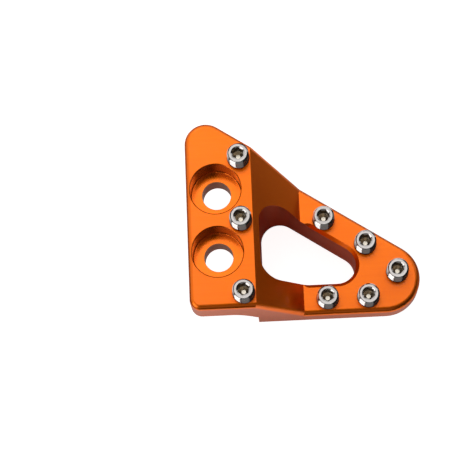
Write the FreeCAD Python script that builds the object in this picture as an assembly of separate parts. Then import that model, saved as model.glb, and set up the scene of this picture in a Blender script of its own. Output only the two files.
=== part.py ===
"""Brake pedal pad: one machined step plate with eight screw-in grip studs.

Frame: the origin lies midway between the two mounting holes, on the flat seat that meets the
pedal arm. +X runs towards the low toe end, +Y towards the slanted far side, +Z out of the tread.
All sizes are in millimetres.
"""
import FreeCAD, Part
import math
import os
from FreeCAD import Vector

# Mounting holes, for two M6 socket-head cap screws
hole_spacing = 14.6
screw_hole_radius = 3.3
head_recess_radius = 5.8
head_recess_depth = 6.0
recess_floor_fillet = 0.2
recess_rim_chamfer = 0.2

# Side profile, seen from the front
shelf_height = 11.3
heel_reach = 6.7
shelf_reach = 8.2
slope_run = 10.7
toe_drop = 12.0
block_depth = 13.1
step_reach = 8.3

# Plan outline, seen from above
front_reach = 20.4
far_reach = 22.7
far_slant = 33.9
front_corner_radius = 2.5
far_corner_radius = 4.8
toe_radius = 8.1
least_corner_radius = 0.3
tread_edge_radius = 1.2

# Tapered underside, cut by a conical cutter that stops short of the step
taper_angle = 30.0
shelf_wall = 7.6
toe_wall = 5.1
cutter_radius = 6.0
cutter_stop_gap = 5.8
step_edge_chamfer = 0.7

# Window through the slope and the toe
window_reach = 9.5
front_rail = 7.25
far_rail = 6.75
window_radius = 4.4
window_chamfer = 0.8
flare_cutter_radius = 1.2
flare_start_gap = 1.6

# Grip studs, M5 x 10 hexagon socket set screws
stud_radius = 2.48
stud_length = 10.0
stud_proud = 3.6
stud_end_chamfer = 0.42
thread_clearance = 0.02
hole_mouth_chamfer = 0.1
socket_across_flats = 2.5
socket_depth = 2.8
socket_mouth_radius = 1.6
socket_mouth_angle = 60.0
socket_cone_angle = 59.0
socket_floor_radius = 0.5
cup_radius = 1.25
cup_depth = 0.6

# Places of the studs on the shelf, from its edges and from the line of the holes
shelf_stud_inset = 2.7
shelf_far_inset = 3.82
shelf_middle_offset = 0.2
shelf_front_inset = 3.5

# Places of the studs on the toe, from its edges, from the foot of the slope and from the tip
toe_far_inset = 3.55
toe_front_inset = 3.75
foot_stud_gap = 5.4
tip_stud_ahead = 2.98
tip_stud_across = 1.2

# Share of the way from the studs by the slope's foot to the tip stud
second_stud_share = 0.573

# Turns of the studs' hexagons as they were driven in, in degrees
shelf_socket_turns = (31.0, 50.0, 20.0)
toe_socket_turns = (0.0, 58.0, 47.0, 30.0, 39.0)

toe_top = shelf_height - toe_drop
toe_fold = shelf_reach + slope_run
slant = math.radians(far_slant)
taper_tangent = math.tan(math.radians(taper_angle))

# How far a cutting tool runs past the face that it opens
overlap = 0.2

# Largest difference between two places or directions that count as the same
tolerance = 1e-6


def front_y(inset):
    """Y of the front edge, moved inwards by inset."""
    return -front_reach + inset


def far_y(x, inset):
    """Y of the slanted far edge at x, with the edge moved inwards by inset."""
    return far_reach - inset / math.cos(slant) - x * math.tan(slant)


def far_x(y, inset):
    """X at which the slanted far edge, moved inwards by inset, reaches y."""
    return (far_reach - inset / math.cos(slant) - y) / math.tan(slant)


def rounded_wire(corners, radii, z):
    """Closed wire of straight lines, with a tangent arc at each corner that has a radius."""
    points = [Vector(x, y, z) for x, y in corners]
    starts, ends, arcs = [], [], []
    for i, radius in enumerate(radii):
        back = points[i - 1] - points[i]
        ahead = points[(i + 1) % len(points)] - points[i]
        back.normalize()
        ahead.normalize()
        half = back.getAngle(ahead) / 2
        starts.append(points[i] + back * (radius / math.tan(half)))
        ends.append(points[i] + ahead * (radius / math.tan(half)))
        towards_centre = back + ahead
        towards_centre.normalize()
        middle = points[i] + towards_centre * (radius / math.sin(half) - radius)
        arcs.append([Part.Arc(starts[i], middle, ends[i]).toShape()] if radius > 0 else [])
    edges = []
    for i, end in enumerate(ends):
        edges += arcs[i]
        edges.append(Part.LineSegment(end, starts[(i + 1) % len(ends)]).toShape())
    return Part.Wire(edges)


def plate_wire(inset, z):
    """Outline of the plate at height z, moved inwards by inset."""
    left = -heel_reach + inset
    front = front_y(inset)
    corners = [(left, front), (far_x(front, inset), front), (left, far_y(left, inset))]
    radii = (front_corner_radius, toe_radius, far_corner_radius)
    return rounded_wire(corners, [max(r - inset, least_corner_radius) for r in radii], z)


def toe_wire(inset, z):
    """Outline of the toe block from the holes' line on, with its outer sides moved inwards."""
    front = front_y(inset)
    corners = [(0, front), (far_x(front, inset), front), (0, far_y(0, inset))]
    return rounded_wire(corners, [0, max(toe_radius - inset, least_corner_radius), 0], z)


def window_wire(outset, z):
    """Outline of the window at height z, moved outwards by outset."""
    left = window_reach - outset
    front = front_y(front_rail - outset)
    rail = far_rail - outset
    corners = [(left, front), (far_x(front, rail), front), (left, far_y(left, rail))]
    return rounded_wire(corners, [window_radius + outset] * 3, z)


def prism(wire, height):
    """Solid raised from a flat wire."""
    return Part.Face(wire).extrude(Vector(0, 0, height))


def side_profile():
    """Shelf, slope, toe and step as one profile, drawn out across the whole width."""
    ahead = far_x(front_y(0), 0)
    points = [
        (-heel_reach, 0),
        (step_reach, 0),
        (step_reach, -block_depth),
        (ahead, -block_depth),
        (ahead, toe_top),
        (toe_fold, toe_top),
        (shelf_reach, shelf_height),
        (-heel_reach, shelf_height),
    ]
    width = front_reach + far_y(-heel_reach, 0)
    outline = [Vector(x, -front_reach, z) for x, z in points]
    face = Part.Face(Part.makePolygon(outline + outline[:1]))
    return face.extrude(Vector(0, width, 0))


def outer_tread_edges(body, low, high):
    """Edges between tread and outer walls, from the height low up to the height high."""
    chosen = []
    for edge in body.Edges:
        tilts = [face.normalAt(0, 0).z for face in body.ancestorsOfType(edge, Part.Face)]
        on_rim = max(tilts) > tolerance and min(abs(tilt) for tilt in tilts) < tolerance
        if on_rim and low - tolerance < edge.CenterOfMass.z < high + tolerance:
            chosen.append(edge)
    return chosen


def step_bottom_edges(body):
    """Edge where the step wall meets the bottom face."""
    corner = Vector(step_reach, 0, -block_depth)
    return [edge for edge in body.Edges
            if all(Vector(end.X, 0, end.Z).isEqual(corner, tolerance) for end in edge.Vertexes)]


def taper_ring(outline, height, low_z):
    """What a conical cutter takes off the outer wall from low_z up to low_z + height."""
    bottom = low_z - overlap
    top = low_z + height + overlap
    block = prism(outline(-cutter_radius, bottom), top - bottom)
    kept = Part.makeLoft([outline((height + overlap) * taper_tangent, bottom),
                          outline(-overlap * taper_tangent, top)], True, True)
    return block.cut(kept)


def shelf_taper():
    """Taper under the shelf, which ends in a conical run-out before the step on both sides."""
    height = shelf_height - shelf_wall
    stop_x = step_reach - cutter_stop_gap
    near_stop = Vector(stop_x, front_y(-cutter_radius), -overlap)
    far_stop = Vector(stop_x, far_y(stop_x, -cutter_radius), -overlap)
    reach = 2 * (front_reach + far_reach)
    tall = height + 2 * overlap
    beyond_near = Part.makeBox(reach, reach, tall, Vector(stop_x, -reach, -overlap))
    beyond_far = Part.makeBox(reach, 2 * cutter_radius, tall, Vector(0, -2 * cutter_radius, 0))
    beyond_far.rotate(Vector(0, 0, 0), Vector(0, 0, 1), -far_slant)
    beyond_far.translate(far_stop)
    cone = Part.makeCone(cutter_radius + (height + overlap) * taper_tangent,
                         cutter_radius - overlap * taper_tangent, tall)
    runs = taper_ring(plate_wire, height, 0).cut([beyond_near, beyond_far])
    return [runs, cone.translated(near_stop), cone.translated(far_stop)]


def screw_seats():
    """Through holes for the mounting screws, each with a rounded recess for the screw's head."""
    depth = head_recess_depth
    recess = Part.makeCylinder(head_recess_radius, depth, Vector(0, 0, -depth))
    floor_edge = [edge for edge in recess.Edges
                  if abs(edge.BoundBox.ZMax + depth) < tolerance]
    recess = recess.makeFillet(recess_floor_fillet, floor_edge)
    rim = Part.makeCone(head_recess_radius, head_recess_radius + recess_rim_chamfer,
                        recess_rim_chamfer, Vector(0, 0, -recess_rim_chamfer))
    hole = Part.makeCylinder(screw_hole_radius, shelf_height, Vector(0, 0, -shelf_height))
    seat = recess.multiFuse([rim, hole])
    return [seat.translated(Vector(0, y, shelf_height))
            for y in (-hole_spacing / 2, hole_spacing / 2)]


def window_flare():
    """Chamfer round the window on the toe, which runs out at the foot of the slope."""
    low_z = toe_top - window_chamfer
    flare = Part.makeLoft([window_wire(0, low_z), window_wire(window_chamfer, toe_top)], True, True)
    start_x = toe_fold + flare_start_gap
    near_start = Vector(start_x, front_y(front_rail + flare_cutter_radius), low_z)
    far_start = Vector(start_x, far_y(start_x, far_rail + flare_cutter_radius), low_z)
    reach = 2 * (front_reach + far_reach)
    before_near = Part.makeBox(reach, reach, window_chamfer, near_start - Vector(reach, reach, 0))
    before_far = Part.makeBox(reach, reach, window_chamfer, Vector(-reach, 0, 0))
    before_far.rotate(Vector(0, 0, 0), Vector(0, 0, 1), -far_slant)
    before_far.translate(far_start)
    cone = Part.makeCone(flare_cutter_radius, flare_cutter_radius + window_chamfer, window_chamfer)
    on_toe = Part.makeBox(reach, reach, window_chamfer, Vector(toe_fold, -reach / 2, low_z))
    runs = flare.cut([before_near, before_far])
    return [tool.common(on_toe)
            for tool in (runs, cone.translated(near_start), cone.translated(far_start))]


def stud_hole(place):
    """Blind tapped hole with a countersunk mouth, as deep as the stud is driven in."""
    bore = stud_radius + thread_clearance
    depth = stud_length - stud_proud
    hole = Part.makeCylinder(bore, depth, place - Vector(0, 0, depth))
    mouth = Part.makeCone(bore, bore + hole_mouth_chamfer, hole_mouth_chamfer,
                          place - Vector(0, 0, hole_mouth_chamfer))
    return hole.fuse(mouth)


def hex_socket(top):
    """Hexagon socket with a countersunk mouth, above the blunt cone that its drill leaves."""
    flat = socket_across_flats / 2
    floor = top - socket_depth
    corner = Vector(flat / math.cos(math.pi / 6), 0, floor)
    turns = [FreeCAD.Rotation(Vector(0, 0, 1), 60 * i) for i in range(7)]
    socket = prism(Part.makePolygon([turn.multVec(corner) for turn in turns]), socket_depth)
    mouth_height = (socket_mouth_radius - flat) / math.tan(math.radians(socket_mouth_angle))
    mouth = Part.makeCone(flat, socket_mouth_radius, mouth_height,
                          Vector(0, 0, top - mouth_height))
    drill_height = (flat - socket_floor_radius) / math.tan(math.radians(socket_cone_angle))
    drill = Part.makeCone(socket_floor_radius, flat, drill_height,
                          Vector(0, 0, floor - drill_height))
    return socket.multiFuse([mouth, drill])


def stud(place, turn):
    """Set screw with a hexagon socket above and a cup point below, driven in to its depth."""
    top = stud_length
    edge = stud_radius - stud_end_chamfer
    outline = [
        (0, cup_depth),
        (cup_radius, 0),
        (edge, 0),
        (stud_radius, stud_end_chamfer),
        (stud_radius, top - stud_end_chamfer),
        (edge, top),
        (0, top),
    ]
    points = [Vector(x, 0, z) for x, z in outline]
    blank = Part.Face(Part.makePolygon(points + points[:1]))
    screw = blank.revolve(Vector(0, 0, 0), Vector(0, 0, 1), 360)
    screw = screw.cut(hex_socket(top))
    screw.rotate(Vector(0, 0, 0), Vector(0, 0, 1), turn)
    screw.translate(place - Vector(0, 0, stud_length - stud_proud))
    return screw


def stud_places():
    """Where each stud leaves the tread, by node name."""
    shelf_x = shelf_reach - shelf_stud_inset
    shelf_rows = (far_y(shelf_x, shelf_far_inset), -shelf_middle_offset, front_y(shelf_front_inset))
    places = {}
    for i, y in enumerate(shelf_rows):
        places[f"shelf_stud_{i + 1}"] = Vector(shelf_x, y, shelf_height)
    tip_y = front_y(toe_radius)
    tip = Vector(far_x(tip_y, toe_radius) + tip_stud_ahead, tip_y + tip_stud_across, toe_top)
    foot_x = toe_fold + foot_stud_gap
    columns = (foot_x, foot_x + second_stud_share * (tip.x - foot_x))
    on_toe = [Vector(x, far_y(x, toe_far_inset), toe_top) for x in columns]
    on_toe.append(tip)
    on_toe.extend(Vector(x, front_y(toe_front_inset), toe_top) for x in columns)
    for i, place in enumerate(on_toe):
        places[f"toe_stud_{i + 1}"] = place
    return places


def pedal_plate(places):
    """The machined plate: blank, rounded edges, tapered underside, window and holes."""
    height = block_depth + shelf_height
    body = side_profile().common(prism(plate_wire(0, -block_depth), height))
    body = body.makeChamfer(step_edge_chamfer, step_bottom_edges(body))
    body = body.makeFillet(tread_edge_radius, outer_tread_edges(body, toe_top, shelf_height))
    toe_taper = block_depth + toe_top - toe_wall
    body = body.cut(taper_ring(toe_wire, toe_taper, -block_depth))
    window = prism(window_wire(0, -block_depth), height)
    for tool in shelf_taper() + [window] + window_flare():
        body = body.cut(tool)
    return body.cut(screw_seats() + [stud_hole(place) for place in places])


def write_node(name, shape):
    """One STEP file for one node."""
    solid = shape.removeSplitter()
    solid = solid.Solids[0] if len(solid.Solids) == 1 else solid
    solid.exportStep(os.path.join("parts", name + ".step"))
    box = solid.BoundBox
    print(f"{name}: {len(shape.Solids)} solid, {solid.Volume:.1f} mm3, valid {solid.isValid()}, "
          f"x {box.XMin:.2f} to {box.XMax:.2f}, y {box.YMin:.2f} to {box.YMax:.2f}, "
          f"z {box.ZMin:.2f} to {box.ZMax:.2f}")


os.makedirs("parts", exist_ok=True)
places = stud_places()
write_node("pedal_plate", pedal_plate(list(places.values())))
turns = shelf_socket_turns + toe_socket_turns
for (name, place), turn in zip(places.items(), turns):
    write_node(name, stud(place, turn))
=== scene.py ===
# %% [markdown]
# A machined brake pedal pad
#
# This file dresses a brake pedal pad for a motorbike: one aluminium step plate, anodised orange,
# with eight stainless steel set screws driven into its tread as grip studs. The solids come from
# the CAD side and are loaded first. They are in metres, with +X towards the low toe end, +Y towards
# the slanted far side and +Z out of the tread. Everything made here is placed in that same frame.

# %% Load the solids
import math

import bmesh
import bpy
from mathutils import Matrix, Vector


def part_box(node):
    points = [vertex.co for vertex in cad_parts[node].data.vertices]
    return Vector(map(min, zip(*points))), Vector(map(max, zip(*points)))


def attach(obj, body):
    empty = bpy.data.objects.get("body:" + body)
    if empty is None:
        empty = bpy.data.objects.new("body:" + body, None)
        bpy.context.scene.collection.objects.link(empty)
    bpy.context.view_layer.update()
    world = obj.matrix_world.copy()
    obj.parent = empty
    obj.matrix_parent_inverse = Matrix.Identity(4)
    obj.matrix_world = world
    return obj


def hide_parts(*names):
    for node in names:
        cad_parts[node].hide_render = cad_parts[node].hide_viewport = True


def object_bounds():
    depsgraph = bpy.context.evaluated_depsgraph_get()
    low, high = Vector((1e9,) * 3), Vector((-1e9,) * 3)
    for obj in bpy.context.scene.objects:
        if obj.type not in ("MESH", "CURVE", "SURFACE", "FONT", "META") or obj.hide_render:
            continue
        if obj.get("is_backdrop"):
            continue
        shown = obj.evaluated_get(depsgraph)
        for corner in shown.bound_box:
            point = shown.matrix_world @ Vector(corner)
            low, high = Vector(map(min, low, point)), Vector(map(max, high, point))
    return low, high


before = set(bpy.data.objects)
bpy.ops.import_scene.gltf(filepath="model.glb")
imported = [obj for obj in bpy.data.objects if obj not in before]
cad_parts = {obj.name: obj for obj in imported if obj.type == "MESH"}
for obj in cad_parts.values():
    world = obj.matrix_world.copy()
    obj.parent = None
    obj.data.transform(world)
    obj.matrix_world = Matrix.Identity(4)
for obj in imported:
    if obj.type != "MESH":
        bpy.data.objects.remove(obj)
cad_low, cad_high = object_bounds()
millimetre = 0.001
print("solids:", ", ".join(sorted(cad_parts)))
print("box in mm:", [round(size / millimetre, 1) for size in cad_high - cad_low])

# %% [markdown]
# Colours and nodes
#
# A colour picked from a screen is stored as sRGB, but Blender shades with linear light. One
# function turns a hex value into linear numbers, so every colour below can be written as it looks.
# A second small function adds a shader node with its settings and links in one call, which keeps
# the finishes further down short enough to read.


# %% Turn a hex colour into linear light
def linear_colour(hex_value):
    """Linear red, green, blue and alpha for an sRGB hex value such as "fa7619"."""
    channels = [int(hex_value[i:i + 2], 16) / 255 for i in (0, 2, 4)]
    linear = [c / 12.92 if c <= 0.04045 else ((c + 0.055) / 1.055) ** 2.4 for c in channels]
    return (*linear, 1.0)


print("mid grey 808080 in linear light:", round(linear_colour("808080")[0], 3))


# %% Add a node with its settings and links
def add_node(tree, kind, settings=None, values=None, links=None):
    """New node: settings are its own properties, values its sockets, links come from sockets."""
    node = tree.nodes.new(kind)
    for name, setting in (settings or {}).items():
        setattr(node, name, setting)
    for name, value in (values or {}).items():
        node.inputs[name].default_value = value
    for name, source in (links or {}).items():
        tree.links.new(source, node.inputs[name])
    return node


def new_finish(name):
    """Empty node material with its output node, ready for a shader."""
    finish = bpy.data.materials.new(name)
    finish.use_nodes = True
    finish.node_tree.nodes.clear()
    output = add_node(finish.node_tree, "ShaderNodeOutputMaterial")
    return finish, finish.node_tree, output


print("helpers ready: add_node, new_finish")

# %% [markdown]
# Orange anodised aluminium
#
# The plate is milled from a block of aluminium, tumbled to a satin surface and dyed orange while
# its oxide layer is still porous. Two things reach the eye. The metal underneath reflects softly
# and is coloured by the dye. The clear oxide on top adds a thin white gloss that only shows at
# flat angles, which is why the upright walls look pinkish beside the pure orange of the tread. A
# metallic Principled shader with a coat gives both. Patterns are written in millimetres, so the
# Object coordinates, which are in metres, are first scaled by a thousand.

# %% Mix the anodised finish
anodised, tree, output = new_finish("anodised_aluminium_orange")
place = add_node(tree, "ShaderNodeTexCoord")
in_mm = add_node(tree, "ShaderNodeVectorMath", {"operation": "SCALE"}, {"Scale": 1 / millimetre},
                 {"Vector": place.outputs["Object"]})

# Cutter passes run from the heel to the toe and are drawn as noise that is stretched 25 times
pass_spacing = 0.6
passes_place = add_node(tree, "ShaderNodeMapping", None, {"Scale": (1 / 25, 1.0, 1.0)},
                        {"Vector": in_mm.outputs["Vector"]})
passes = add_node(tree, "ShaderNodeTexNoise", None,
                  {"Scale": 1 / pass_spacing, "Detail": 3.0, "Roughness": 0.6},
                  {"Vector": passes_place.outputs["Vector"]})

# The tumbled grain is 0.1 mm on the real part and is drawn at 0.3 mm, so that it shows
grain_width = 0.3
grain = add_node(tree, "ShaderNodeTexNoise", None,
                 {"Scale": 1 / grain_width, "Detail": 4.0, "Roughness": 0.7},
                 {"Vector": in_mm.outputs["Vector"]})

# The dye takes a little unevenly over some 12 mm
drift_width = 12
dye_drift = add_node(tree, "ShaderNodeTexNoise", None, {"Scale": 1 / drift_width, "Detail": 1.0},
                     {"Vector": in_mm.outputs["Vector"]})
print("passes, grain and dye drift in mm:", pass_spacing, grain_width, drift_width)

# %% Colour of the dye
streaks = add_node(tree, "ShaderNodeMix", {"data_type": "FLOAT"}, {"Factor": 0.5},
                   {"A": passes.outputs["Fac"], "B": dye_drift.outputs["Fac"]})
dye = add_node(tree, "ShaderNodeValToRGB", None, None, {"Fac": streaks.outputs["Result"]})
for stop, position, colour in zip(dye.color_ramp.elements, (0.3, 0.7), ("f76d05", "fb7508")):
    stop.position = position
    stop.color = linear_colour(colour)
print("colours of the dye:", len(dye.color_ramp.elements))

# %% Gloss of the tread and of the bored recesses
satin = add_node(tree, "ShaderNodeMapRange", None,
                 {"From Min": 0.3, "From Max": 0.7, "To Min": 0.31, "To Max": 0.38},
                 {"Value": grain.outputs["Fac"]})

# Both head recesses are bored, which leaves them smoother. One test serves for both, because they
# lie 7.3 mm to either side of the origin: the sign of x and y is dropped, and so is z
recess_offset = 7.3
recess_radius = 5.8
either_side = add_node(tree, "ShaderNodeVectorMath", {"operation": "ABSOLUTE"}, None,
                       {0: in_mm.outputs["Vector"]})
in_plan = add_node(tree, "ShaderNodeVectorMath", {"operation": "MULTIPLY"}, {1: (1, 1, 0)},
                   {0: either_side.outputs["Vector"]})
from_axis = add_node(tree, "ShaderNodeVectorMath", {"operation": "DISTANCE"},
                     {1: (0, recess_offset, 0)}, {0: in_plan.outputs["Vector"]})
bored = add_node(tree, "ShaderNodeMapRange", None,
                 {"From Min": recess_radius, "From Max": recess_radius + 0.2,
                  "To Min": 0.6, "To Max": 1.0},
                 {"Value": from_axis.outputs["Value"]})
gloss = add_node(tree, "ShaderNodeMath", {"operation": "MULTIPLY"}, None,
                 {0: satin.outputs["Result"], 1: bored.outputs["Result"]})
print("recess radius in mm:", recess_radius)

# %% Painted shade on the bored walls
# The upright walls of a recess and of its screw hole get a browner, darker colour, which is painted
# shade. A recess wall is what lies within 0.065 mm of 5.765 mm from the axis and more than 1 mm
# above the seat. The wall of a screw hole is all that lies within 3.4 mm of the axis
wall_middle = 5.765
wall_reach = 0.065
least_height = 1.0
hole_reach = 3.4
near_wall = add_node(tree, "ShaderNodeMath", {"operation": "COMPARE"},
                     {1: wall_middle, 2: wall_reach}, {0: from_axis.outputs["Value"]})
place_in_mm = add_node(tree, "ShaderNodeSeparateXYZ", None, None,
                       {"Vector": in_mm.outputs["Vector"]})
above_seat = add_node(tree, "ShaderNodeMath", {"operation": "GREATER_THAN"}, {1: least_height},
                      {0: place_in_mm.outputs["Z"]})
in_hole = add_node(tree, "ShaderNodeMath", {"operation": "LESS_THAN"}, {1: hole_reach},
                   {0: from_axis.outputs["Value"]})
painted_shade_on_walls = add_node(tree, "ShaderNodeMath", {"operation": "MULTIPLY_ADD", "use_clamp": True}, None,
                   {0: near_wall.outputs["Value"], 1: above_seat.outputs["Value"],
                    2: in_hole.outputs["Value"]})

# A Mix node has its factor at place 0, its colours at 6 and 7, and the mixed colour at place 2
# Mixes the dye with a painted shade colour on the walls
dye_and_wall_shade = add_node(tree, "ShaderNodeMix", {"data_type": "RGBA"}, {7: linear_colour("b86420")},
                {0: painted_shade_on_walls.outputs["Value"], 6: dye.outputs["Color"]})
print("widest browner wall in mm:", wall_middle + wall_reach)

# %% Join the anodised shader
pitted = add_node(tree, "ShaderNodeBump", None, {"Strength": 0.12, "Distance": 0.02 * millimetre},
                  {"Height": grain.outputs["Fac"]})
lined = add_node(tree, "ShaderNodeBump", None, {"Strength": 0.15, "Distance": 0.04 * millimetre},
                 {"Height": passes.outputs["Fac"], "Normal": pitted.outputs["Normal"]})
metal = add_node(tree, "ShaderNodeBsdfPrincipled", None,
                 {"Metallic": 1.0, "Coat Weight": 0.35, "Coat Roughness": 0.12, "Coat IOR": 1.5},
                 {"Base Color": dye_and_wall_shade.outputs[2], "Roughness": gloss.outputs["Value"],
                  "Normal": lined.outputs["Normal"]})
tree.links.new(metal.outputs["BSDF"], output.inputs["Surface"])
print("anodised finish:", anodised.name)

# %% [markdown]
# Stainless steel
#
# The studs are turned from stainless steel and their threads are rolled, which leaves bright
# burnished flanks and slightly duller ends. The finish is a plain metal: a pale warm grey with low
# roughness, fine scratches, and nothing on top. Most of its look comes from what it reflects.

# %% Mix the stainless finish
stainless, tree, output = new_finish("stainless_steel_turned")
place = add_node(tree, "ShaderNodeTexCoord")
in_mm = add_node(tree, "ShaderNodeVectorMath", {"operation": "SCALE"}, {"Scale": 1 / millimetre},
                 {"Vector": place.outputs["Object"]})
scratch_width = 0.25
scratches = add_node(tree, "ShaderNodeTexNoise", None,
                     {"Scale": 1 / scratch_width, "Detail": 4.0, "Roughness": 0.7},
                     {"Vector": in_mm.outputs["Vector"]})
bright = add_node(tree, "ShaderNodeMapRange", None,
                  {"From Min": 0.3, "From Max": 0.7, "To Min": 0.08, "To Max": 0.16},
                  {"Value": scratches.outputs["Fac"]})
tint = add_node(tree, "ShaderNodeValToRGB", None, None, {"Fac": scratches.outputs["Fac"]})
for stop, position, colour in zip(tint.color_ramp.elements, (0.3, 0.7), ("b2adaa", "c8c3c0")):
    stop.position = position
    stop.color = linear_colour(colour)
worn = add_node(tree, "ShaderNodeBump", None, {"Strength": 0.1, "Distance": 0.01 * millimetre},
                {"Height": scratches.outputs["Fac"]})
metal = add_node(tree, "ShaderNodeBsdfPrincipled", None, {"Metallic": 1.0},
                 {"Base Color": tint.outputs["Color"], "Roughness": bright.outputs["Result"],
                  "Normal": worn.outputs["Normal"]})
tree.links.new(metal.outputs["BSDF"], output.inputs["Surface"])
print("stainless finish:", stainless.name)

# %% Mix the finishes of the sockets
# The broach leaves the walls rough, and their dark brownish colour is painted shade. The floor's
# pale colour is a painted highlight. Both are copies of the turned steel with two colours and two
# roughness values of their own
socket_shade_and_highlight_finishes = {"stainless_steel_broached_with_painted_shade": ("6a5d4b", "94826a", 0.25, 0.4),
                   "stainless_steel_drilled_with_painted_highlight": ("e2d6c0", "f4ecdf", 0.2, 0.35)}
for name, (dark, pale, smooth, rough) in socket_shade_and_highlight_finishes.items():
    finish = stainless.copy()
    finish.name = name
    for node in finish.node_tree.nodes:
        if node.type == "VALTORGB":
            node.color_ramp.elements[0].color = linear_colour(dark)
            node.color_ramp.elements[1].color = linear_colour(pale)
        if node.type == "MAP_RANGE":
            node.inputs["To Min"].default_value = smooth
            node.inputs["To Max"].default_value = rough
print("socket finishes:", ", ".join(socket_shade_and_highlight_finishes))

# %% [markdown]
# The plate
#
# The milled plate is right as it comes from CAD, with its rounded edges, recesses and run-outs, so
# its mesh stays as it is and only takes the finish.

# %% Give the plate its finish
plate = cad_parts["pedal_plate"]
plate.data.materials.clear()
plate.data.materials.append(anodised)
print("plate triangles:", len(plate.data.polygons))

# %% [markdown]
# The grip studs
#
# Each stud is an M5 x 10 socket set screw. The CAD solid has the screw's ends and its socket, but
# its side is a plain cylinder at the crest of the thread. So it is replaced here by a screw of the
# same sizes with a real thread. A thread is a sawtooth profile that climbs one pitch for each turn,
# and bmesh can spin it just so: spin turns the profile round the axis and lifts it a little at
# every step. The chamfered ends come from pressing the crests in under a cone, and two cuts with
# bisect_plane trim the screw to length.

# %% Sizes of a stud
pitch = 0.8 * millimetre
crest_radius = 2.48 * millimetre
root_radius = 2.07 * millimetre
stud_length = 10.0 * millimetre
end_chamfer = 0.42 * millimetre
socket_flats = 2.5 * millimetre
socket_depth = 2.8 * millimetre
socket_mouth_radius = 1.6 * millimetre
socket_mouth_slope = math.tan(math.radians(60))
socket_floor_radius = 0.5 * millimetre
drill_cone_depth = (socket_flats / 2 - socket_floor_radius) / math.tan(math.radians(59))
cup_radius = 1.25 * millimetre
cup_depth = 0.6 * millimetre
steps_per_turn = 36
print("thread depth in mm:", round((crest_radius - root_radius) / millimetre, 2))


# %% Profile of one pitch of the thread
def thread_profile():
    """Radius and height along one pitch, from the middle of one root to the middle of the next."""
    crest_flat = pitch / 8
    flank = (crest_radius - root_radius) * math.tan(math.radians(30))
    root_flat = pitch - crest_flat - 2 * flank
    points = [(root_radius, 0.0), (root_radius, root_flat / 2)]
    for share in (0.35, 0.7, 1.0):
        points.append((root_radius + share * (crest_radius - root_radius),
                       root_flat / 2 + share * flank))
    points.append((crest_radius, root_flat / 2 + flank + crest_flat / 2))
    mirrored = [(radius, pitch - height) for radius, height in points[:-1]]
    return points + mirrored[::-1]


print("points in a pitch:", len(thread_profile()))


# %% Spin the thread and press its ends under a cone
def thread_surface():
    """Threaded wall of the screw, with its foot at the origin and its axis along Z."""
    wall = bmesh.new()
    points = [wall.verts.new((radius, 0, height)) for radius, height in thread_profile()]
    profile = [wall.edges.new(pair) for pair in zip(points, points[1:])]
    turns = math.ceil(stud_length / pitch) + 2
    steps = turns * steps_per_turn
    bmesh.ops.translate(wall, verts=points, vec=(0, 0, -1.5 * pitch))
    bmesh.ops.spin(wall, geom=points + profile, cent=(0, 0, 0), axis=(0, 0, 1),
                   dvec=(0, 0, pitch / steps_per_turn), angle=math.tau * turns, steps=steps,
                   use_merge=False, use_normal_flip=False, use_duplicate=False)
    bmesh.ops.remove_doubles(wall, verts=wall.verts, dist=pitch / 100)
    for vertex in wall.verts:
        from_end = min(vertex.co.z, stud_length - vertex.co.z)
        radius = vertex.co.xy.length
        allowed = crest_radius - end_chamfer + max(from_end, 0)
        if radius > allowed:
            vertex.co.x *= allowed / radius
            vertex.co.y *= allowed / radius
    for height, outward in ((0, -1), (stud_length, 1)):
        bmesh.ops.bisect_plane(wall, geom=wall.verts[:] + wall.edges[:] + wall.faces[:],
                               plane_co=(0, 0, height), plane_no=(0, 0, outward),
                               clear_outer=True)
    return wall


trial = thread_surface()
print("thread faces:", len(trial.faces))
trial.free()


# %% Hexagon and top ring
def hexagon_radius(angle):
    """Distance from the axis to the socket's wall in a direction."""
    sector = math.radians(60)
    return socket_flats / 2 / math.cos((angle % sector) - sector / 2)


def close_top(wall):
    """Adds the flat ring on top and returns the socket's mouth rim and the screw's foot rim."""
    rims = [edge for edge in wall.edges if edge.is_boundary]
    top_rim = [edge for edge in rims if min(v.co.z for v in edge.verts) > stud_length / 2]
    foot_rim = [edge for edge in rims if max(v.co.z for v in edge.verts) < stud_length / 2]
    mouth = bmesh.ops.create_circle(wall, cap_ends=False, radius=socket_mouth_radius, segments=48,
                                    matrix=Matrix.Translation((0, 0, stud_length)))["verts"]
    mouth_rim = list({edge for vertex in mouth for edge in vertex.link_edges})
    bmesh.ops.triangle_fill(wall, edges=top_rim + mouth_rim, use_beauty=True)
    return mouth_rim, foot_rim


print("socket corner radius in mm:", round(hexagon_radius(0) / millimetre, 2))


# %% Sink the hexagon socket
def extrude_rim(mesh, rim):
    """Extrudes a rim of edges and returns its new vertices and edges."""
    made = bmesh.ops.extrude_edge_only(mesh, edges=rim)["geom"]
    verts = [item for item in made if isinstance(item, bmesh.types.BMVert)]
    edges = [item for item in made if isinstance(item, bmesh.types.BMEdge)
             and all(v in verts for v in item.verts)]
    return verts, edges


def sink_socket(mesh, mouth_rim):
    """Countersunk mouth, hexagon walls and drilled floor, each extruded from the rim before."""
    verts, rim = extrude_rim(mesh, mouth_rim)
    for vertex in verts:
        angle = math.atan2(vertex.co.y, vertex.co.x)
        radius = hexagon_radius(angle)
        sunk = (socket_mouth_radius - radius) / socket_mouth_slope
        vertex.co = (radius * math.cos(angle), radius * math.sin(angle), stud_length - sunk)
    verts, rim = extrude_rim(mesh, rim)
    for vertex in verts:
        vertex.co.z = stud_length - socket_depth
    for radius, deeper in ((socket_flats / 2, 0), (socket_floor_radius, drill_cone_depth)):
        verts, rim = extrude_rim(mesh, rim)
        for vertex in verts:
            scale = radius / vertex.co.xy.length
            vertex.co = (vertex.co.x * scale, vertex.co.y * scale,
                         stud_length - socket_depth - deeper)
    bmesh.ops.contextual_create(mesh, geom=rim)


print("socket depth with its cone in mm:", round((socket_depth + drill_cone_depth) / millimetre, 2))


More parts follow.
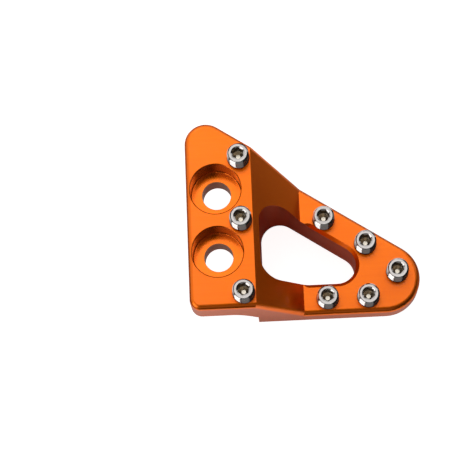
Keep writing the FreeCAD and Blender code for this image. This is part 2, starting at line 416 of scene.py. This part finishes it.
# %% Hollow the cup point
def hollow_point(mesh, foot_rim):
    """Flat ring and hollow cup on the buried end."""
    verts, rim = extrude_rim(mesh, foot_rim)
    for vertex in verts:
        scale = cup_radius / vertex.co.xy.length
        vertex.co = (vertex.co.x * scale, vertex.co.y * scale, 0)
    verts, rim = extrude_rim(mesh, rim)
    bmesh.ops.pointmerge(mesh, verts=verts, merge_co=Vector((0, 0, cup_depth)))


print("cup depth in mm:", round(cup_depth / millimetre, 2))

# %% [markdown]
# One screw, eight places
#
# The screw is made once and copied. Each copy is turned, because a set screw stops at whatever
# angle it was driven to, and moved on to the CAD stud that it replaces. The place goes into the
# mesh, so that every object stays at the origin.

# %% Make the master screw
master = thread_surface()
mouth_rim, foot_rim = close_top(master)
sink_socket(master, mouth_rim)
hollow_point(master, foot_rim)
bmesh.ops.recalc_face_normals(master, faces=master.faces)

# Below the mouth, what leans like a wall takes the finish with painted shade and the rest the one
# with a painted highlight
mouth_depth = socket_depth / 4
least_floor_normal = 0.8
for face in master.faces:
    middle = face.calc_center_median()
    sunk = stud_length - middle.z
    in_socket = middle.xy.length < hexagon_radius(0) and mouth_depth < sunk < stud_length / 2
    if in_socket:
        face.material_index = 1 if abs(face.normal.z) < least_floor_normal else 2
open_edges = sum(1 for edge in master.edges if len(edge.link_faces) != 2)
print("screw faces:", len(master.faces), "open edges:", open_edges)

# %% Drive a screw into each tapped hole
driven_to = {"shelf_stud_1": 31, "shelf_stud_2": 50, "shelf_stud_3": 20, "toe_stud_1": 0,
             "toe_stud_2": 58, "toe_stud_3": 47, "toe_stud_4": 30, "toe_stud_5": 39}
for node, degrees in driven_to.items():
    low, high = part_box(node)
    mesh = bpy.data.meshes.new(node + "_screw")
    master.to_mesh(mesh)
    foot = Vector(((low.x + high.x) / 2, (low.y + high.y) / 2, low.z))
    mesh.transform(Matrix.Translation(foot) @ Matrix.Rotation(math.radians(degrees), 4, "Z"))
    mesh.shade_smooth()
    mesh.set_sharp_from_angle(angle=math.radians(25))
    screw = bpy.data.objects.new(node + "_screw", mesh)
    bpy.context.scene.collection.objects.link(screw)
    for name in (stainless.name, *socket_shade_and_highlight_finishes):
        mesh.materials.append(bpy.data.materials[name])
    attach(screw, "root")
    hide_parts(node)
master.free()
print("screws driven:", len(driven_to))

# %% [markdown]
# Floor and backdrop
#
# The pad lies on a small white table. The camera sees the table and the room as white, and so
# would glass. The metal mirrors them too: the table, with a painted shadow of the pad on it, and
# the room's white walls, which rise from the table's level behind the pad and on its left. The
# light that they throw on the object stays plain. The Light Path node tells these rays apart.


# %% Whiteness that depends on who looks
def background_share(tree, mirrored):
    """Socket with 1 for rays of the camera and through glass, and mirrored for glossy rays."""
    rays = add_node(tree, "ShaderNodeLightPath")
    clear = add_node(tree, "ShaderNodeMath", {"operation": "ADD"}, None,
                     {0: rays.outputs["Is Camera Ray"], 1: rays.outputs["Is Transmission Ray"]})
    total = add_node(tree, "ShaderNodeMath", {"operation": "MULTIPLY_ADD", "use_clamp": True}, None,
                     {0: rays.outputs["Is Glossy Ray"], 1: mirrored, 2: clear.outputs["Value"]})
    return total.outputs["Value"]


print("ready: background_share")

# %% Lay the floor
table_middle = Vector((0.0194, 0.0013, cad_low.z))
table_half_width = 0.075
floor_mesh = bpy.data.meshes.new("floor")
floor_sheet = bmesh.new()
bmesh.ops.create_grid(floor_sheet, x_segments=1, y_segments=1, size=table_half_width)
bmesh.ops.translate(floor_sheet, verts=floor_sheet.verts, vec=table_middle)
floor_sheet.to_mesh(floor_mesh)
floor_sheet.free()
floor = bpy.data.objects.new("floor", floor_mesh)
bpy.context.scene.collection.objects.link(floor)
floor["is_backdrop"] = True
print("floor at z in mm:", round(table_middle.z / millimetre, 2))

# %% Paint the table white
# Where the metal mirrors the table, a painted shadow makes it dark under the pad, and it gets white
# away from it. The painted shadow is an oval, longer along X as the pad is
oval = Vector((0.45, 1, 1))
painted_shadow_from = 0.0205
painted_shadow_to = 0.055
table_white = 0.92
table_paint, tree, output = new_finish("white_table")
matt = add_node(tree, "ShaderNodeBsdfDiffuse", None, {"Color": linear_colour("cccccc")})
place = add_node(tree, "ShaderNodeTexCoord")
from_pad = add_node(tree, "ShaderNodeVectorMath", {"operation": "MULTIPLY_ADD"},
                    {1: oval, 2: -oval * table_middle}, {0: place.outputs["Object"]})
away = add_node(tree, "ShaderNodeVectorMath", {"operation": "LENGTH"}, None,
                {0: from_pad.outputs["Vector"]})
# Painted shadow: the white that the metal mirrors rises from 0 under the pad to 1 away from it
clear_of_painted_shadow = add_node(tree, "ShaderNodeMapRange", None,
                    {"From Min": painted_shadow_from, "From Max": painted_shadow_to},
                    {"Value": away.outputs["Value"]})
white = add_node(tree, "ShaderNodeMath", {"operation": "MULTIPLY"}, {1: table_white},
                 {0: background_share(tree, clear_of_painted_shadow.outputs["Result"])})
seen = add_node(tree, "ShaderNodeEmission", None, {"Color": linear_colour("ffffff")},
                {"Strength": white.outputs["Value"]})
sum_up = add_node(tree, "ShaderNodeAddShader")
tree.links.new(matt.outputs["BSDF"], sum_up.inputs[0])
tree.links.new(seen.outputs["Emission"], sum_up.inputs[1])
tree.links.new(sum_up.outputs["Shader"], output.inputs["Surface"])
floor_mesh.materials.append(table_paint)
print("table paint:", table_paint.name)

# %% [markdown]
# Light
#
# Satin metal looks like what stands around it, so the lamps are soft panels that form a tent. The
# brightest stands at the front left, at middle height, and whitens the lower left of each stud. A
# wide one above the back lights the tread. Those on the right are weak, and that is what keeps the
# slope and the right side of each stud dark. Each panel is given by its direction from the pad in
# degrees, its size in metres and its radiance, where 1 is white paper.

# %% Hang the lamps
panels = {"back_top": (90, 68, 0.50, 0.45, 1.2),
          "back_middle": (90, 38, 0.50, 0.42, 0.17),
          "back_right_middle": (45, 38, 0.50, 0.42, 0.8),
          "left_top": (180, 68, 0.50, 0.45, 0.55),
          "front_left_middle": (213, 34, 0.42, 0.42, 2.3),
          "front_left_low": (225, 12, 0.50, 0.27, 0.6),
          "front_middle": (270, 38, 0.50, 0.42, 0.23),
          "right_top": (0, 68, 0.50, 0.45, 0.15),
          "right_low": (0, 10, 0.50, 0.27, 0.28)}
panel_distance = 0.7
centre_of_pad = (cad_low + cad_high) / 2
for name, (azimuth, elevation, width, height, radiance) in panels.items():
    lamp = bpy.data.lights.new(name, "AREA")
    lamp.shape = "RECTANGLE"
    lamp.size = width
    lamp.size_y = height
    lamp.energy = math.pi * width * height * radiance
    turn = (Matrix.Rotation(math.radians(azimuth), 3, "Z")
            @ Matrix.Rotation(math.radians(-elevation), 3, "Y"))
    outward = turn @ Vector((1, 0, 0))
    holder = bpy.data.objects.new(name, lamp)
    holder.location = centre_of_pad + panel_distance * outward
    holder.rotation_euler = outward.to_track_quat("Z", "Y").to_euler()
    bpy.context.scene.collection.objects.link(holder)
print("soft panels:", len(panels))

# %% Raise the white walls
wall_side = (-0.5, 0.87, 0)
world = bpy.data.worlds.new("studio")
bpy.context.scene.world = world
world.use_nodes = True
tree = world.node_tree
tree.nodes.clear()
output = add_node(tree, "ShaderNodeOutputWorld")
direction = add_node(tree, "ShaderNodeTexCoord")
to_wall = add_node(tree, "ShaderNodeVectorMath", {"operation": "DOT_PRODUCT"},
                   {1: wall_side}, {0: direction.outputs["Generated"]})
wall = add_node(tree, "ShaderNodeMapRange", None, {"From Min": 0.3, "From Max": 0.6},
                {"Value": to_wall.outputs["Value"]})
rise = add_node(tree, "ShaderNodeSeparateXYZ", None, None,
                {"Vector": direction.outputs["Generated"]})
upper = add_node(tree, "ShaderNodeMapRange", None, {"From Min": 0.0, "From Max": 0.15},
                 {"Value": rise.outputs["Z"]})
upper_wall = add_node(tree, "ShaderNodeMath", {"operation": "MULTIPLY"}, None,
                      {0: wall.outputs["Result"], 1: upper.outputs["Result"]})
print("white walls stand towards x and y:", wall_side[:2])

# %% Fill the room
room_fill = 0.02
brightness = add_node(tree, "ShaderNodeMapRange", None, {"To Min": room_fill, "To Max": 1.0},
                      {"Value": background_share(tree, upper_wall.outputs["Value"])})
room = add_node(tree, "ShaderNodeBackground", None, {"Color": linear_colour("ffffff")},
                {"Strength": brightness.outputs["Result"]})
tree.links.new(room.outputs["Background"], output.inputs["Surface"])
bpy.context.scene.view_settings.view_transform = "Standard"
print("room fill:", room_fill)

# %% [markdown]
# Camera
#
# A long lens, 126 mm, looks down on the pad from its front side, 15 degrees off the upright. The
# place and the angles were measured from how the pad's edges converge.

# %% Set up the camera
picture_width = 450
focal_length_in_pixels = 1578.16
camera_data = bpy.data.cameras.new("camera")
camera_data.sensor_width = 36.0
camera_data.lens = focal_length_in_pixels / picture_width * camera_data.sensor_width
camera_data.clip_start = 0.01
camera = bpy.data.objects.new("camera", camera_data)
camera.location = Vector((15.1506, -90.9578, 353.9034)) * millimetre
camera.rotation_euler = [math.radians(angle) for angle in (14.56878, 2.77664, -2.15882)]
bpy.context.scene.collection.objects.link(camera)
bpy.context.scene.camera = camera
print("lens in mm:", round(camera_data.lens, 2))

# %% [markdown]
# Finish
#
# The box of the dressed pad is written here, to be held against the box of the solids written at
# the start, to show that the looks have not outgrown the construction.

# %% Write the visual box and finish
low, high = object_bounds()
print("visual box in mm:", [round(size / millimetre, 2) for size in high - low])
